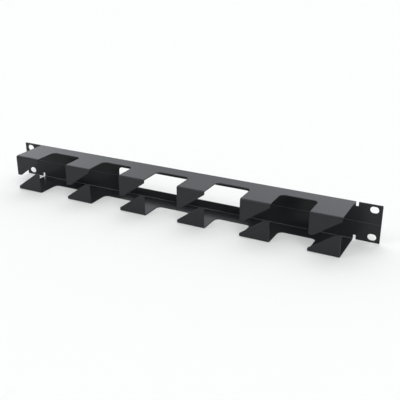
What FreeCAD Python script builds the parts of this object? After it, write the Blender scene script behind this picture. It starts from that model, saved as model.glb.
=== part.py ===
import FreeCAD, Part
import math
import os

# Rack cable organizer: one sheet of steel, cut flat and folded into a channel
# with twelve fingers. Millimetres.
# X runs along the panel, Y towards the rack, Z up. The origin is the middle of
# the rack slots, on the back face of the ears, which bears on the rack.

# Sheet and bends
sheet = 1.2
bend_inner = 1.2

# Panel and ears
panel_width = 482.6
panel_height = 44.0
panel_corner = 0.5
ear_length = 25.9

# Rack slots in the ears, two each side
slot_length = 9.5
slot_width = 7.4
slot_end_margin = 8.75
slot_edge_margin = 6.125

# Bend relief between each ear and the channel
relief_width = 3.0
relief_past_bend = 3.45

# Channel
depth = 51.8
flange_rise = 0.75

# Fingers, gaps and lips
finger_count = 6
finger_width = 34.8
web_depth = 20.0
gap_corner = 6.0
lip_short = 4.35
lip_flat = 5.4
lip_past_middle = 2.7
lip_corner = 0.5

# Window in the back panel
window_width = 181.0
window_height = 22.8
window_corner = 5.0

# Scored line along the middle of the panel's front
score_width = 0.8
score_depth = 0.35

# How far a cutter stands out of the sheet
overcut = 2.0

# Derived places
bend_outer = bend_inner + sheet
panel_half = panel_height / 2
body_half = panel_half + flange_rise
bend_line = body_half - bend_outer
panel_end = panel_width / 2
ear_start = panel_end - ear_length
channel_half = ear_start - relief_width
finger_gap = (2 * channel_half - finger_count * finger_width) / (finger_count - 1)
finger_pitch = finger_width + finger_gap
finger_starts = [finger_pitch * number - channel_half for number in range(finger_count)]

ALONG_X = FreeCAD.Vector(1, 0, 0)
ALONG_Y = FreeCAD.Vector(0, 1, 0)
ALONG_Z = FreeCAD.Vector(0, 0, 1)
ORIGIN = FreeCAD.Vector(0, 0, 0)


def front_point(x, z):
    return FreeCAD.Vector(x, 0, z)


def side_point(y, z):
    return FreeCAD.Vector(0, y, z)


def plan_point(x, y):
    return FreeCAD.Vector(x, y, 0)


# A closed flat face from (point, radius) pairs. A radius of 0 is a sharp corner.
def rounded_face(corners):
    entries = []
    exits = []
    arcs = []
    for number, (point, radius) in enumerate(corners):
        to_last = corners[number - 1][0].sub(point).normalize()
        to_next = corners[(number + 1) % len(corners)][0].sub(point).normalize()
        if radius == 0:
            entries.append(point)
            exits.append(point)
            arcs.append(None)
            continue
        half_angle = to_last.getAngle(to_next) / 2
        tangent_length = radius / math.tan(half_angle)
        to_middle = radius / math.sin(half_angle) - radius
        entry = point + to_last * tangent_length
        leave = point + to_next * tangent_length
        middle = point + to_last.add(to_next).normalize() * to_middle
        entries.append(entry)
        exits.append(leave)
        arcs.append(Part.Arc(entry, middle, leave).toShape())
    edges = []
    for number, arc in enumerate(arcs):
        if arc is not None:
            edges.append(arc)
        start = exits[number]
        end = entries[(number + 1) % len(corners)]
        if start.distanceToPoint(end) > 1e-6:
            edges.append(Part.makeLine(start, end))
    return Part.Face(Part.Wire(Part.__sortEdges__(edges)))


# A rectangle seen from the front, with the same radius at each corner.
def rounded_rectangle(center_x, center_z, width, height, radius):
    left = center_x - width / 2
    right = center_x + width / 2
    bottom = center_z - height / 2
    top = center_z + height / 2
    return rounded_face([
        (front_point(left, bottom), radius),
        (front_point(right, bottom), radius),
        (front_point(right, top), radius),
        (front_point(left, top), radius),
    ])


# A front outline as sheet, its front face at front_y.
def sheet_from_front(face, front_y):
    return face.translated(ALONG_Y * front_y).extrude(ALONG_Y * sheet)


# A front outline as a cutter through the back panel.
def panel_cutter(face):
    return face.translated(ALONG_Y * -(sheet + overcut)).extrude(ALONG_Y * (sheet + 2 * overcut))


def half_turn(shape):
    return shape.rotated(ORIGIN, ALONG_Y, 180)


# Half of the channel: back panel from mid height, bend, flange, and the bend to the lips.
def channel_half_section():
    return rounded_face([
        (side_point(0, 0), 0),
        (side_point(0, body_half), bend_outer),
        (side_point(-depth, body_half), bend_outer),
        (side_point(-depth, bend_line), 0),
        (side_point(sheet - depth, bend_line), 0),
        (side_point(sheet - depth, body_half - sheet), bend_inner),
        (side_point(-sheet, body_half - sheet), bend_inner),
        (side_point(-sheet, 0), 0),
    ])


# The open space between two fingers, from above. Its inner corners are round.
def gap_cutter(start):
    front = -depth - overcut
    face = rounded_face([
        (plan_point(start, front), 0),
        (plan_point(start + finger_gap, front), 0),
        (plan_point(start + finger_gap, -web_depth), gap_corner),
        (plan_point(start, -web_depth), gap_corner),
    ])
    return face.extrude(ALONG_Z * (body_half + overcut))


# An upper lip: long on the left, cut away on a slope to a short right edge.
def lip(start):
    tip = -lip_past_middle
    face = rounded_face([
        (front_point(start, bend_line), 0),
        (front_point(start, tip), lip_corner),
        (front_point(start + lip_flat, tip), lip_corner),
        (front_point(start + finger_width, body_half - lip_short), lip_corner),
        (front_point(start + finger_width, bend_line), 0),
    ])
    return sheet_from_front(face, -depth)


# The upper row of fingers with the flange that carries it and half of the panel.
def upper_comb():
    section = channel_half_section()
    comb = section.translated(ALONG_X * -channel_half).extrude(ALONG_X * (2 * channel_half))
    gaps = [gap_cutter(start + finger_width) for start in finger_starts[:-1]]
    lips = [lip(start) for start in finger_starts]
    return comb.cut(gaps).fuse(lips)


# The right ear with the narrow neck that the two bend reliefs leave.
def ear():
    neck = bend_line - relief_past_bend
    face = rounded_face([
        (front_point(channel_half, -neck), 0),
        (front_point(ear_start, -neck), 0),
        (front_point(ear_start, -panel_half), 0),
        (front_point(panel_end, -panel_half), panel_corner),
        (front_point(panel_end, panel_half), panel_corner),
        (front_point(ear_start, panel_half), 0),
        (front_point(ear_start, neck), 0),
        (front_point(channel_half, neck), 0),
    ])
    return sheet_from_front(face, -sheet)


def rack_slots():
    cutters = []
    for side_x in (-1, 1):
        for side_z in (-1, 1):
            slot_x = side_x * (panel_end - slot_end_margin)
            slot_z = side_z * (panel_half - slot_edge_margin)
            face = rounded_rectangle(slot_x, slot_z, slot_length, slot_width, slot_width / 2)
            cutters.append(panel_cutter(face))
    return cutters


def window():
    return panel_cutter(rounded_rectangle(0, 0, window_width, window_height, window_corner))


# A shallow V along the middle of the panel's front, ears included.
def score():
    half_width = score_width / 2 * (score_depth + overcut) / score_depth
    face = rounded_face([
        (side_point(-sheet - overcut, -half_width), 0),
        (side_point(score_depth - sheet, 0), 0),
        (side_point(-sheet - overcut, half_width), 0),
    ])
    start = panel_end + overcut
    return face.translated(ALONG_X * -start).extrude(ALONG_X * (2 * start))


# The lower comb is the upper one turned half a turn about Y, and so is the left ear.
def organizer():
    comb = upper_comb()
    right_ear = ear()
    body = comb.fuse([half_turn(comb), right_ear, half_turn(right_ear)])
    body = body.cut(rack_slots() + [window(), score()])
    return body.removeSplitter()


os.makedirs("parts", exist_ok=True)
organizer_panel = organizer()
print("solids", len(organizer_panel.Solids), "valid", organizer_panel.isValid(),
      "faces", len(organizer_panel.Faces), "volume", round(organizer_panel.Volume, 1))
organizer_panel.exportStep("parts/organizer_panel.step")
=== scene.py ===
import bpy
import math
from mathutils import Matrix, Vector


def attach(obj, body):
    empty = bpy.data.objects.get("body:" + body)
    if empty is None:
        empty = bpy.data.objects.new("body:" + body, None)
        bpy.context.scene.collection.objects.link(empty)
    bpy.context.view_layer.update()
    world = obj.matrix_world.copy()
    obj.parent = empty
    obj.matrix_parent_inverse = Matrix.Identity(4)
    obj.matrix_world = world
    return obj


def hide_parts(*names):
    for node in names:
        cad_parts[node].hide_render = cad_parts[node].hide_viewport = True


# Rack cable organizer. One steel sheet is cut flat, its edges are broken, the
# middle line is scored, and then it is folded into a channel and powder coated.
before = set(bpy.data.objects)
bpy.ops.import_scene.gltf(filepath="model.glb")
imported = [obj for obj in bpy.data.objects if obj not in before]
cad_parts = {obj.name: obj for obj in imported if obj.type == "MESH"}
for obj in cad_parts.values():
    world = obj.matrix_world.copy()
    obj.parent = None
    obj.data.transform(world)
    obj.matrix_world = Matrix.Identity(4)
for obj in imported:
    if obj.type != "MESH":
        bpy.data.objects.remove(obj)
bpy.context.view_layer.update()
mm = 0.001
scene = bpy.context.scene
scene.view_settings.view_transform = "Standard"
print("frame loaded")


# Camera, found from the straight edges of the object in the photograph
cameraView = {
    "place": (0.3609, -0.6494, 0.29022),
    "turn": 27.3726,       # degrees round the object from the front
    "height": 22.4806,     # degrees above the level
    "lens": 59.035,
    "sensor": 36.0,
    "nearest": 0.01,
    "farthest": 50.0,
}


def placeCamera(view):
    turn = math.radians(view["turn"])
    height = math.radians(view["height"])
    back = Vector((math.sin(turn) * math.cos(height),
                   -math.cos(turn) * math.cos(height),
                   math.sin(height)))
    right = Vector((math.cos(turn), math.sin(turn), 0.0))
    up = back.cross(right)
    data = bpy.data.cameras.new("productCamera")
    data.lens = view["lens"]
    data.sensor_width = view["sensor"]
    data.clip_start = view["nearest"]
    data.clip_end = view["farthest"]
    camera = bpy.data.objects.new("productCamera", data)
    axes = Matrix((right, up, back)).transposed().to_4x4()
    camera.matrix_world = Matrix.Translation(view["place"]) @ axes
    scene.collection.objects.link(camera)
    scene.camera = camera


placeCamera(cameraView)
print("camera placed")


# Small helpers for node trees. A Field is a socket that can be used in sums.
class Field:
    def __init__(self, tree, socket):
        self.tree = tree
        self.socket = socket

    def work(self, operation, other=None, swapped=False):
        node = self.tree.nodes.new("ShaderNodeMath")
        node.operation = operation
        values = [self] if other is None else [self, other]
        if swapped:
            values.reverse()
        for number, value in enumerate(values):
            setInput(self.tree, node.inputs[number], value)
        return Field(self.tree, node.outputs[0])

    def __add__(self, other):
        return self.work("ADD", other)

    def __sub__(self, other):
        return self.work("SUBTRACT", other)

    def __rsub__(self, other):
        return self.work("SUBTRACT", other, swapped=True)

    def __mul__(self, other):
        return self.work("MULTIPLY", other)

    def __truediv__(self, other):
        return self.work("DIVIDE", other)

    def __neg__(self):
        return self.work("MULTIPLY", -1.0)

    def least(self, other):
        return self.work("MINIMUM", other)

    def most(self, other):
        return self.work("MAXIMUM", other)

    def above(self, other):
        return self.work("GREATER_THAN", other)


def setInput(tree, socket, value):
    if isinstance(value, Field):
        tree.links.new(value.socket, socket)
    elif isinstance(value, bpy.types.NodeSocket):
        tree.links.new(value, socket)
    else:
        socket.default_value = value


# Adds a node. Settings are its properties, and inputs go by name or number.
def addNode(tree, kind, inputs=None, **settings):
    node = tree.nodes.new(kind)
    for name, value in settings.items():
        setattr(node, name, value)
    for name, value in (inputs or {}).items():
        setInput(tree, node.inputs[name], value)
    return node


# The three parts of a vector, as Fields
def partsOf(tree, vector):
    parts = addNode(tree, "ShaderNodeSeparateXYZ", {0: vector})
    return [Field(tree, output) for output in parts.outputs]


def placeParts(tree):
    return partsOf(tree, addNode(tree, "GeometryNodeInputPosition").outputs[0])


def newGeometryTree(name, sizes):
    tree = bpy.data.node_groups.new(name, "GeometryNodeTree")
    tree.interface.new_socket("Geometry", in_out="INPUT", socket_type="NodeSocketGeometry")
    tree.interface.new_socket("Geometry", in_out="OUTPUT", socket_type="NodeSocketGeometry")
    for label, value in sizes.items():
        kind = "NodeSocketInt" if isinstance(value, int) else "NodeSocketFloat"
        tree.interface.new_socket(label, in_out="INPUT", socket_type=kind)
    tree.interface.new_socket("Material", in_out="INPUT", socket_type="NodeSocketMaterial")
    source = tree.nodes.new("NodeGroupInput")
    fields = {label: Field(tree, source.outputs[label]) for label in sizes}
    return tree, source, fields


def addGeometryModifier(piece, tree, sizes, material):
    modifier = piece.modifiers.new(tree.name, "NODES")
    modifier.node_group = tree
    for item in tree.interface.items_tree:
        if item.item_type != "SOCKET" or item.in_out != "INPUT":
            continue
        if item.name in sizes:
            modifier[item.identifier] = sizes[item.name]
        elif item.name == "Material":
            modifier[item.identifier] = material


def vectorOf(tree, x, y, z=0.0):
    return addNode(tree, "ShaderNodeCombineXYZ", {0: x, 1: y, 2: z}).outputs[0]


# A switch that gives each point its own value, in the order of the points.
def valuePerPoint(tree, kind, values):
    switch = addNode(tree, "GeometryNodeIndexSwitch", data_type=kind)
    while len(switch.index_switch_items) < len(values):
        switch.index_switch_items.new()
    index = addNode(tree, "GeometryNodeInputIndex").outputs[0]
    setInput(tree, switch.inputs["Index"], index)
    for number, value in enumerate(values):
        setInput(tree, switch.inputs[number + 1], value)
    return switch.outputs[0]


# A closed outline through the given points. Corners maps a point's number to its radius.
def outlineCurve(tree, points, corners, segments):
    places = valuePerPoint(tree, "VECTOR", [vectorOf(tree, x, y) for x, y in points])
    dots = addNode(tree, "GeometryNodePoints", {"Count": len(points), "Position": places})
    line = addNode(tree, "GeometryNodePointsToCurves", {"Points": dots.outputs[0]})
    ring = addNode(tree, "GeometryNodeSetSplineCyclic", {
        "Geometry": line.outputs[0], "Cyclic": True})
    if not corners:
        return ring.outputs[0]
    radii = [corners.get(number, 0.0) for number in range(len(points))]
    radius = valuePerPoint(tree, "FLOAT", radii)
    return roundedCurve(tree, ring.outputs[0], radius, segments)


def roundedCurve(tree, curve, radius, segments):
    rounded = addNode(tree, "GeometryNodeFilletCurve", {
        "Curve": curve, "Radius": radius, "Count": segments,
        "Limit Radius": True}, mode="POLY")
    return rounded.outputs[0]


def rectangleCurve(tree, width, height, radius, segments):
    shape = addNode(tree, "GeometryNodeCurvePrimitiveQuadrilateral", {
        "Width": width, "Height": height}, mode="RECTANGLE")
    return roundedCurve(tree, shape.outputs[0], radius, segments)


# Room that the cutters need, in metres
cutRoom = {
    "spare": 0.002,                # how far a cutter stands out of the sheet
    "earSwing": 0.006,             # how far rows of points swing clear of the ears
    "weld": 0.00001,               # points nearer to each other than this become one
}


# A closed cutter that stands through the sheet, which lies from 0 to its thickness.
def cutterFrom(tree, curve, thickness):
    spare = cutRoom["spare"]
    face = addNode(tree, "GeometryNodeFillCurve", {"Curve": curve}, mode="NGONS").outputs[0]
    low = addNode(tree, "GeometryNodeTransform", {
        "Geometry": face, "Translation": vectorOf(tree, 0.0, 0.0, -spare)}).outputs[0]
    raised = addNode(tree, "GeometryNodeExtrudeMesh", {
        "Mesh": low, "Offset": (0.0, 0.0, 1.0), "Offset Scale": thickness + spare * 2.0,
        "Individual": False}, mode="FACES").outputs[0]
    floor = addNode(tree, "GeometryNodeFlipFaces", {"Mesh": low}).outputs[0]
    closed = addNode(tree, "GeometryNodeMergeByDistance", {
        "Geometry": joined(tree, [raised, floor]), "Distance": cutRoom["weld"]})
    return closed.outputs[0]


def joined(tree, shapes):
    node = addNode(tree, "GeometryNodeJoinGeometry")
    for shape in shapes:
        tree.links.new(shape, node.inputs[0])
    return node.outputs[0]


# Copies of one shape at each point of a mesh, made real.
def copiesAt(tree, points, shape):
    placed = addNode(tree, "GeometryNodeInstanceOnPoints", {
        "Points": points, "Instance": shape})
    return addNode(tree, "GeometryNodeRealizeInstances", {
        "Geometry": placed.outputs[0]}).outputs[0]


def halfTurned(tree, shape):
    return addNode(tree, "GeometryNodeTransform", {
        "Geometry": shape, "Rotation": (0.0, 0.0, math.pi)}).outputs[0]


def cutAway(tree, body, cutters):
    node = addNode(tree, "GeometryNodeMeshBoolean", operation="DIFFERENCE", solver="EXACT")
    tree.links.new(body, node.inputs["Mesh 1"])
    tree.links.new(cutters, node.inputs["Mesh 2"])
    return node.outputs[0]


def stored(tree, shape, name, value, domain):
    node = addNode(tree, "GeometryNodeStoreNamedAttribute", {
        "Geometry": shape, "Name": name, "Value": value}, data_type="FLOAT", domain=domain)
    return node.outputs[0]


# Sizes of the sheet in millimetres. The flat blank and the fold both read them.
sheetSizes = {
    "Sheet": 1.2,
    "Bend Radius": 1.2,            # inside
    "Panel Half Width": 241.3,
    "Panel Half Height": 22.0,
    "Body Half Height": 22.75,
    "Depth": 51.8,
    "Ear Start": 215.4,
    "Channel Half": 212.4,
    "Neck Half": 16.9,             # between the bend reliefs
    "Finger Width": 34.8,
    "Finger Gap": 43.2,
    "Web Depth": 20.0,             # mounting face to the back of the gaps
    "Gap Corner": 6.0,
    "Lip Flat": 5.4,
    "Lip Short": 4.35,             # height of the short edge
    "Lip Past Middle": 2.7,
    "Window Width": 181.0,
    "Window Height": 22.8,
    "Window Corner": 5.0,
    "Rack Slot Length": 9.5,
    "Rack Slot Width": 7.4,
    "Rack Slot Span": 465.1,
    "Rack Slot Rise": 31.75,
    "Score Width": 0.8,
    "Score Depth": 0.35,
}
sheetNumbers = {
    "Gap Count": 5,
    "Bend Steps": 10,
    "Round Steps": 10,
    "Score Painted Highlight": 5.0,             # how much the colour is lifted as a painted highlight in the score, against 1 for the wear on a cut edge
    # how much the colour is lifted as a painted highlight in the inner bends
    "Corner Painted Highlight": 9.0,
}
edgeFinish = {
    "cornerRadius": 0.5,
    "cornerSteps": 4,
    "cornerTurn": 0.5,             # radians from which an outside corner is rounded
    "edgeRadius": 0.22,
    "edgeSteps": 3,
    "edgeAngle": 60.0,             # degrees from which an edge is broken
    "crispAngle": 35.0,            # degrees from which an edge is shaded sharp
    "scoreAngle": 15.0,            # the same near the score
}
# Where the colour is lifted as a painted highlight, in shares of the score's width and of a
# bend's arc
paintedHighlightPlaces = {
    "grooveSlant": 0.01,           # a face in the groove slants at least this much
    "grooveReach": 0.6,
    "cornerStart": 0.3,
    "cornerEnd": 0.7,
}


def metricSizes():
    sizes = {label: value * mm for label, value in sheetSizes.items()}
    sizes.update(sheetNumbers)
    return sizes


# Where the bends lie in the flat sheet, from its middle line. A bend takes as much
# sheet as its arc is long in the middle of the thickness.
def foldPlaces(f):
    outer = f["Bend Radius"] + f["Sheet"]
    arc = (f["Bend Radius"] + f["Sheet"] * 0.5) * (math.pi / 2)
    bendLine = f["Body Half Height"] - outer
    flangeFlat = f["Depth"] - outer * 2.0
    flangeStart = bendLine + arc
    flangeEnd = flangeStart + flangeFlat
    return outer, arc, bendLine, flangeFlat, flangeStart, flangeEnd, flangeEnd + arc


# The flat blank: X along the panel, Y across the sheet, Z through it.
def flatBlankTree(sizes):
    tree, source, f = newGeometryTree("flatBlank", sizes)
    outer, arc, bendLine, flangeFlat, flangeStart, _, lipStart = foldPlaces(f)
    lipLong = bendLine + f["Lip Past Middle"]
    lipShort = f["Lip Short"] - outer
    lipTip = lipStart + lipLong
    gapBack = flangeStart + f["Web Depth"] - outer
    pitch = f["Finger Width"] + f["Finger Gap"]

    # Rows of points lie only where the sheet bends, so the flats stay whole. Beside
    # the bend reliefs they swing clear of the ears, which aren't bent. Each half has
    # three columns: two in the relief, either side of its middle, and the panel's end.
    steps = f["Bend Steps"]
    rowCount = steps * 4.0 + 6.0
    columnCount = 6
    slab = addNode(tree, "GeometryNodeMeshCube", {
        "Size": vectorOf(tree, columnCount - 1.0, rowCount - 1.0, f["Sheet"]),
        "Vertices X": columnCount, "Vertices Y": rowCount, "Vertices Z": 2})
    along, across, through = placeParts(tree)
    column = along.work("ABSOLUTE")
    row = across.work("ABSOLUTE") - 0.5
    relief = f["Ear Start"] - f["Channel Half"]
    inner = f["Channel Half"] + relief * 0.25
    onEar = column.above(1.0)
    length = inner + onEar * relief * 0.5 + column.above(2.0) * (
        f["Panel Half Width"] - inner - relief * 0.5)
    firstBend = row.least(steps) * arc / steps
    flange = row.above(steps + 0.5) * flangeFlat
    secondBend = (row - steps - 1.0).most(0.0).least(steps) * arc / steps
    onLip = row.above(steps * 2.0 + 1.5)
    clearOfEar = onEar * cutRoom["earSwing"] * (1.0 - onLip)
    reach = bendLine + firstBend + flange + secondBend + onLip * lipLong + clearOfEar
    flatPlace = vectorOf(tree, length * along.work("SIGN"), reach * across.work("SIGN"),
                         through + f["Sheet"] * 0.5)
    slab = addNode(tree, "GeometryNodeSetPosition", {
        "Geometry": slab.outputs[0], "Position": flatPlace}).outputs[0]

    # One gap with the slant of the lip on its left, then a row of them
    spare = cutRoom["spare"]
    slantRun = f["Finger Width"] - f["Lip Flat"]
    slantRise = lipLong - lipShort
    slantSpare = slantRun / slantRise * spare
    over = lipTip + spare
    gap = outlineCurve(tree, [
        (f["Lip Flat"] - slantSpare, over),
        (f["Finger Width"], lipStart + lipShort),
        (f["Finger Width"], gapBack),
        (pitch, gapBack),
        (pitch, over),
    ], {2: f["Gap Corner"], 3: f["Gap Corner"]}, f["Round Steps"])
    gap = cutterFrom(tree, gap, f["Sheet"])
    starts = addNode(tree, "GeometryNodeMeshLine", {
        "Count": f["Gap Count"],
        "Start Location": vectorOf(tree, -f["Channel Half"], 0.0),
        "Offset": vectorOf(tree, pitch, 0.0)}, mode="OFFSET").outputs[0]
    gaps = copiesAt(tree, starts, gap)

    # The two ends: last slant, bend relief and the sheet above and below the ears
    outside = f["Panel Half Width"] + spare
    rightEnd = cutterFrom(tree, outlineCurve(tree, [
        (f["Channel Half"] - slantRun - slantSpare, over),
        (f["Channel Half"], lipStart + lipShort),
        (f["Channel Half"], f["Neck Half"]),
        (f["Ear Start"], f["Neck Half"]),
        (f["Ear Start"], f["Panel Half Height"]),
        (outside, f["Panel Half Height"]),
        (outside, over),
    ], {}, 1), f["Sheet"])
    leftEnd = cutterFrom(tree, outlineCurve(tree, [
        (-outside, over),
        (-outside, f["Panel Half Height"]),
        (-f["Ear Start"], f["Panel Half Height"]),
        (-f["Ear Start"], f["Neck Half"]),
        (-f["Channel Half"], f["Neck Half"]),
        (-f["Channel Half"], over),
    ], {}, 1), f["Sheet"])
    upper = joined(tree, [gaps, rightEnd, leftEnd])
    outlines = joined(tree, [upper, halfTurned(tree, upper)])

    # Window and the four rack slots
    window = cutterFrom(tree, rectangleCurve(
        tree, f["Window Width"], f["Window Height"], f["Window Corner"], f["Round Steps"]),
        f["Sheet"])
    slotEnd = f["Rack Slot Width"] * 0.4999        # a full half would give double points
    slot = cutterFrom(tree, rectangleCurve(
        tree, f["Rack Slot Length"], f["Rack Slot Width"], slotEnd, f["Round Steps"]),
        f["Sheet"])
    slotPlaces = addNode(tree, "GeometryNodeMeshGrid", {
        "Size X": f["Rack Slot Span"], "Size Y": f["Rack Slot Rise"],
        "Vertices X": 2, "Vertices Y": 2}).outputs[0]
    holes = joined(tree, [window, copiesAt(tree, slotPlaces, slot)])
    blank = cutAway(tree, cutAway(tree, slab, outlines), holes)

    # Outside corners are marked, so that the first bevel rounds them.
    ends = addNode(tree, "GeometryNodeInputMeshEdgeVertices")
    lengths = addNode(tree, "ShaderNodeVectorMath", {
        0: ends.outputs["Position 1"], 1: ends.outputs["Position 2"]}, operation="SUBTRACT")
    rise = partsOf(tree, lengths.outputs[0])[2].work("ABSOLUTE")
    angles = addNode(tree, "GeometryNodeInputMeshEdgeAngle")
    turn = Field(tree, angles.outputs["Signed Angle"])
    corner = rise.above(f["Sheet"] * 0.5) * turn.above(edgeFinish["cornerTurn"])
    finishTree(tree, source, stored(tree, blank, "bevel_weight_edge", corner, "EDGE"))
    return tree


# Scores the middle line, then folds: panel, bend, flange, bend, lip, on both sides.
def foldTree(sizes):
    tree, source, f = newGeometryTree("scoreAndFold", sizes)
    # The groove is steep above and slants below, where it catches the light.
    tall = cutRoom["spare"] * 2.0
    bar = addNode(tree, "GeometryNodeMeshCube", {
        "Size": vectorOf(tree, f["Panel Half Width"] * 2.0 + cutRoom["spare"] * 2.0,
                         f["Score Width"], tall)}).outputs[0]
    slope = placeParts(tree)[1] / f["Score Width"] * f["Score Depth"]
    bar = addNode(tree, "GeometryNodeSetPosition", {
        "Geometry": bar,
        "Offset": vectorOf(tree, 0.0, 0.0, f["Sheet"] + tall * 0.5
                           - f["Score Depth"] * 0.5 - slope)}).outputs[0]
    scored = cutAway(tree, source.outputs["Geometry"], bar)

    outer, arc, bendLine, flangeFlat, flangeStart, flangeEnd, lipStart = foldPlaces(f)
    along, across, through = placeParts(tree)
    reach = across.work("ABSOLUTE")

    # Faces that look neither up nor down in the flat sheet are its cut edge, where the coat
    # is worn a little lighter. The groove and the middle of the inner bends get a painted
    # highlight: their colour is lifted much more, so that they read as bright lit lines.
    facing = partsOf(tree, addNode(tree, "GeometryNodeInputNormal").outputs[0])[2]
    edge = 1.0 - facing.work("ABSOLUTE")
    groove = edge.above(paintedHighlightPlaces["grooveSlant"]) * (
        1.0 - reach.above(f["Score Width"] * paintedHighlightPlaces["grooveReach"]))
    innerSide = facing.above(0.5)
    innerCorner = innerSide * reach.above(bendLine + arc * paintedHighlightPlaces["cornerStart"]) * (
        1.0 - reach.above(bendLine + arc * paintedHighlightPlaces["cornerEnd"]))
    wearAndHighlight = edge + groove * f["Score Painted Highlight"] + innerCorner * f["Corner Painted Highlight"]
    scored = stored(tree, scored, "edgeWearAndPaintedHighlight", wearAndHighlight, "FACE")

    # Each point keeps its depth in the sheet and goes round the bends before it.
    # Nothing bends on the ears, past the middle of the reliefs.
    quarter = math.pi / 2
    bends = 1.0 - along.work("ABSOLUTE").above((f["Channel Half"] + f["Ear Start"]) * 0.5)
    firstTurn = ((reach - bendLine) / arc).most(0.0).least(1.0) * quarter
    secondTurn = ((reach - flangeEnd) / arc).most(0.0).least(1.0) * quarter
    turn = (firstTurn + secondTurn) * bends
    alongPanel = reach.least(bendLine) + (reach - bendLine).most(0.0) * (1.0 - bends)
    alongFlange = (reach - flangeStart).most(0.0).least(flangeFlat) * bends
    alongLip = (reach - lipStart).most(0.0)
    radius = outer - through
    foldedY = radius * turn.work("COSINE") - outer - alongFlange
    foldedZ = (radius * turn.work("SINE") + alongPanel - alongLip) * across.work("SIGN")
    folded = addNode(tree, "GeometryNodeSetPosition", {
        "Geometry": scored, "Position": vectorOf(tree, along, foldedY, foldedZ)}).outputs[0]

    # The groove and the inner corners stay crisp, the bends and broken edges smooth.
    angles = addNode(tree, "GeometryNodeInputMeshEdgeAngle")
    angle = Field(tree, angles.outputs["Unsigned Angle"])
    nearScore = 1.0 - placeParts(tree)[2].work("ABSOLUTE").above(f["Score Width"])
    sharp = angle.above(math.radians(edgeFinish["crispAngle"])).most(
        angle.above(math.radians(edgeFinish["scoreAngle"])) * nearScore)
    crisp = addNode(tree, "GeometryNodeSetShadeSmooth", {
        "Geometry": folded, "Selection": sharp, "Shade Smooth": False},
        domain="EDGE").outputs[0]
    finishTree(tree, source, crisp)
    return tree


def finishTree(tree, source, shape):
    real = addNode(tree, "GeometryNodeRealizeInstances", {"Geometry": shape}).outputs[0]
    smooth = addNode(tree, "GeometryNodeSetShadeSmooth", {"Geometry": real}).outputs[0]
    coated = addNode(tree, "GeometryNodeSetMaterial", {
        "Geometry": smooth, "Material": source.outputs["Material"]}).outputs[0]
    sink = tree.nodes.new("NodeGroupOutput")
    tree.links.new(coated, sink.inputs["Geometry"])


def addBevel(piece, name, width, steps, method):
    bevel = piece.modifiers.new(name, "BEVEL")
    bevel.width = width * mm
    bevel.segments = steps
    bevel.limit_method = method
    bevel.angle_limit = math.radians(edgeFinish["edgeAngle"])
    bevel.use_clamp_overlap = False


# Turns the evaluated piece into a plain mesh and takes its modifiers off.
def settle(piece):
    graph = bpy.context.evaluated_depsgraph_get()
    mesh = bpy.data.meshes.new_from_object(piece.evaluated_get(graph))
    mesh.name = piece.name
    piece.modifiers.clear()
    piece.data = mesh


def makeFoldedSheet(material):
    sizes = metricSizes()
    piece = bpy.data.objects.new("folded_sheet", bpy.data.meshes.new("folded_sheet"))
    scene.collection.objects.link(piece)
    addGeometryModifier(piece, flatBlankTree(sizes), sizes, material)
    addBevel(piece, "roundCorners", edgeFinish["cornerRadius"],
             edgeFinish["cornerSteps"], "WEIGHT")
    addBevel(piece, "breakEdges", edgeFinish["edgeRadius"],
             edgeFinish["edgeSteps"], "ANGLE")
    addGeometryModifier(piece, foldTree(sizes), sizes, material)
    normals = piece.modifiers.new("flatNormals", "WEIGHTED_NORMAL")
    normals.keep_sharp = True
    settle(piece)
    return piece


# Shared node group: fine pitting and patchy tone of a sprayed and baked powder coat, and a
# lift of its colour for wear on cut edges and for painted highlights
orangePeel = {
    "grain": 1900.0,       # about half a millimetre from bump to bump
    "patch": 34.0,         # about three centimetres from patch to patch
}


def shaderGroup(name, inputs, outputs):
    group = bpy.data.node_groups.new(name, "ShaderNodeTree")
    for label, value in inputs.items():
        kind = "NodeSocketColor" if isinstance(value, tuple) else "NodeSocketFloat"
        socket = group.interface.new_socket(label, in_out="INPUT", socket_type=kind)
        socket.default_value = value
    for label, kind in outputs.items():
        group.interface.new_socket(label, in_out="OUTPUT", socket_type=kind)
    source = group.nodes.new("NodeGroupInput")
    sink = group.nodes.new("NodeGroupOutput")
    return group, source, sink


def coatGroup():
    group, source, sink = shaderGroup("powderGrain", {
        "Color": (0.02, 0.02, 0.02, 1.0),
        "Roughness": 0.3,
        "Roughness Spread": 0.05,
        "Color Spread": 0.15,
        "Edge": 0.0,
        "Wear And Highlight Lift": 0.3,
        "Grain Scale": orangePeel["grain"],
        "Patch Scale": orangePeel["patch"],
    }, {
        "Color": "NodeSocketColor",
        "Roughness": "NodeSocketFloat",
        "Height": "NodeSocketFloat",
    })
    coords = addNode(group, "ShaderNodeTexCoord").outputs["Object"]
    grain = addNode(group, "ShaderNodeTexNoise", {
        "Vector": coords, "Scale": source.outputs["Grain Scale"], "Detail": 2.0,
        "Roughness": 0.45})
    patch = addNode(group, "ShaderNodeTexNoise", {
        "Vector": coords, "Scale": source.outputs["Patch Scale"], "Detail": 3.0,
        "Roughness": 0.55})
    drift = Field(group, patch.outputs[0]) - 0.5
    # Edge lifts the colour: a little on worn cut edges, and much more in the groove and
    # inner bends as painted highlight.
    lift = Field(group, source.outputs["Edge"]) * Field(group, source.outputs["Wear And Highlight Lift"])
    bright = drift * Field(group, source.outputs["Color Spread"]) * 2.0 + lift + 1.0
    shade = addNode(group, "ShaderNodeVectorMath", {
        0: source.outputs["Color"], "Scale": bright}, operation="SCALE")
    rough = Field(group, source.outputs["Roughness"]) + drift * 2.0 * Field(
        group, source.outputs["Roughness Spread"])
    setInput(group, sink.inputs["Color"], shade.outputs[0])
    setInput(group, sink.inputs["Roughness"], rough)
    setInput(group, sink.inputs["Height"], grain.outputs[0])
    return group


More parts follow.
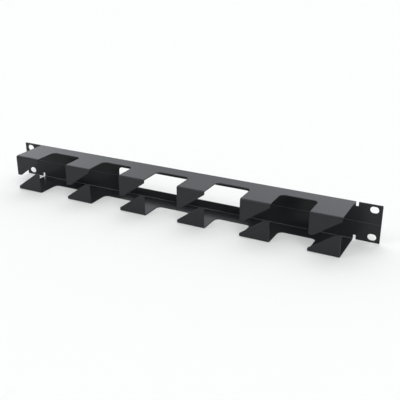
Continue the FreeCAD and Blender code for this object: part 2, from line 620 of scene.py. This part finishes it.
powderCoat = {
    "color": (0.0290, 0.0295, 0.0320, 1.0),
    "roughness": 0.26,
    "roughnessSpread": 0.02,
    "colorSpread": 0.06,
    # colour lift for worn cut edges, and multiplied by the painted highlight strengths in
    # the groove and inner bends
    "wearAndHighlightLift": 0.25,
    "bumpStrength": 0.12,
    "bumpDepth": 0.00003,
    "ior": 1.25,
}


def powderCoatMaterial(look):
    material = bpy.data.materials.new("blackPowderCoat")
    material.use_nodes = True
    tree = material.node_tree
    shader = tree.nodes["Principled BSDF"]
    # Reads the cut-edge wear and the painted highlight of the groove and inner bends.
    edge = addNode(tree, "ShaderNodeAttribute", attribute_name="edgeWearAndPaintedHighlight",
                   attribute_type="GEOMETRY")
    grain = addNode(tree, "ShaderNodeGroup", node_tree=coatGroup())
    for label, value in (("Color", look["color"]), ("Roughness", look["roughness"]),
                         ("Roughness Spread", look["roughnessSpread"]),
                         ("Color Spread", look["colorSpread"]),
                         ("Edge", edge.outputs["Fac"]), ("Wear And Highlight Lift", look["wearAndHighlightLift"])):
        setInput(tree, grain.inputs[label], value)
    bump = addNode(tree, "ShaderNodeBump", {
        "Height": grain.outputs["Height"], "Strength": look["bumpStrength"],
        "Distance": look["bumpDepth"]})
    setInput(tree, shader.inputs["Base Color"], grain.outputs["Color"])
    setInput(tree, shader.inputs["Roughness"], grain.outputs["Roughness"])
    setInput(tree, shader.inputs["Normal"], bump.outputs["Normal"])
    shader.inputs["IOR"].default_value = look["ior"]
    return material


coat = powderCoatMaterial(powderCoat)
sheetPiece = makeFoldedSheet(coat)
print("folded sheet made:", len(sheetPiece.data.polygons), "faces")


# Studio: a white floor and two rings of soft light, in pairs of degrees and strength.
# The rings start straight behind and go round by the left, the shares go up from level.
# The light color is a little cool, and the floor's color balances it.
studio = {
    "floorHeight": -22.75, # millimetres, level with the underside of the channel
    "floorSize": 12.0,     # metres
    "floorColor": (0.60, 0.587, 0.567, 1.0),
    "floorGlow": 0.27,     # for camera and glossy rays, so that the floor ends up white
    "lightColor": (0.965, 1.0, 1.035),
    "lowRing": [(0, 1.80), (30, 0.50), (60, 2.95), (90, 0.45), (135, 0.50), (165, 0.30),
                (190, 0.20), (220, 0.20), (265, 0.20), (300, 0.80), (330, 1.40),
                (360, 1.80)],
    "highRing": [(0, 2.50), (30, 2.20), (60, 2.00), (95, 0.20), (124, 0.20), (136, 3.00),
                 (146, 3.00), (158, 0.20), (195, 0.60), (220, 5.20), (245, 1.00),
                 (265, 0.20), (300, 0.20), (330, 0.50), (360, 2.50)],
    "lowShare": [(0, 1.0), (14, 1.0), (32, 0.0), (90, 0.0)],
    "highShare": [(0, 0.0), (14, 0.0), (32, 0.8), (44, 1.3), (58, 1.3), (72, 0.4),
                  (90, 0.3)],
}


def makeFloor(look):
    half = look["floorSize"] / 2
    height = look["floorHeight"] * mm
    mesh = bpy.data.meshes.new("studioFloor")
    corners = [(-half, -half, height), (half, -half, height),
               (half, half, height), (-half, half, height)]
    mesh.from_pydata(corners, [], [(0, 1, 2, 3)])
    floor = bpy.data.objects.new("studioFloor", mesh)
    scene.collection.objects.link(floor)
    material = bpy.data.materials.new("paleFloor")
    material.use_nodes = True
    tree = material.node_tree
    tree.nodes.clear()
    matte = addNode(tree, "ShaderNodeBsdfDiffuse", {"Color": look["floorColor"]})
    seen = addNode(tree, "ShaderNodeLightPath")
    direct = Field(tree, seen.outputs["Is Camera Ray"]).most(
        Field(tree, seen.outputs["Is Glossy Ray"]))
    glow = addNode(tree, "ShaderNodeEmission", {"Strength": direct * look["floorGlow"]})
    total = addNode(tree, "ShaderNodeAddShader", {0: matte.outputs[0], 1: glow.outputs[0]})
    sink = addNode(tree, "ShaderNodeOutputMaterial")
    tree.links.new(total.outputs[0], sink.inputs["Surface"])
    mesh.materials.append(material)


# Straight lines through pairs of degrees and strength
def profile(tree, place, pairs, whole):
    peak = max(strength for _, strength in pairs)
    ramp = addNode(tree, "ShaderNodeValToRGB", {"Fac": place})
    marks = ramp.color_ramp.elements
    for degrees, _ in pairs[1:-1]:
        marks.new(degrees / whole)
    for mark, (_, strength) in zip(marks, pairs):
        mark.color = (strength / peak, strength / peak, strength / peak, 1.0)
    return Field(tree, ramp.outputs["Color"]) * peak


def makeWorld(look):
    world = bpy.data.worlds.new("paleSurround")
    scene.world = world
    world.use_nodes = True
    tree = world.node_tree
    tree.nodes.clear()
    wholeTurn = 360.0
    straightUp = 90.0
    ways = addNode(tree, "ShaderNodeTexCoord").outputs["Generated"]
    right, back, up = partsOf(tree, ways)
    around = ((-right).work("ARCTAN2", back) / math.tau).work("FRACT")
    height = (up.work("ARCSINE") / (math.pi / 2)).most(0.0)
    low = profile(tree, around, look["lowRing"], wholeTurn) * profile(
        tree, height, look["lowShare"], straightUp)
    high = profile(tree, around, look["highRing"], wholeTurn) * profile(
        tree, height, look["highShare"], straightUp)

    # The camera sees plain white where the object sees the rings.
    seen = Field(tree, addNode(tree, "ShaderNodeLightPath").outputs["Is Camera Ray"])
    light = addNode(tree, "ShaderNodeVectorMath", {
        0: look["lightColor"], 1: (low + high) * (1.0 - seen), 2: seen},
        operation="MULTIPLY_ADD")
    sky = addNode(tree, "ShaderNodeBackground", {"Color": light.outputs[0]})
    sink = addNode(tree, "ShaderNodeOutputWorld")
    tree.links.new(sky.outputs[0], sink.inputs["Surface"])


makeFloor(studio)
makeWorld(studio)
print("studio made")

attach(sheetPiece, "root")
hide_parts("organizer_panel")
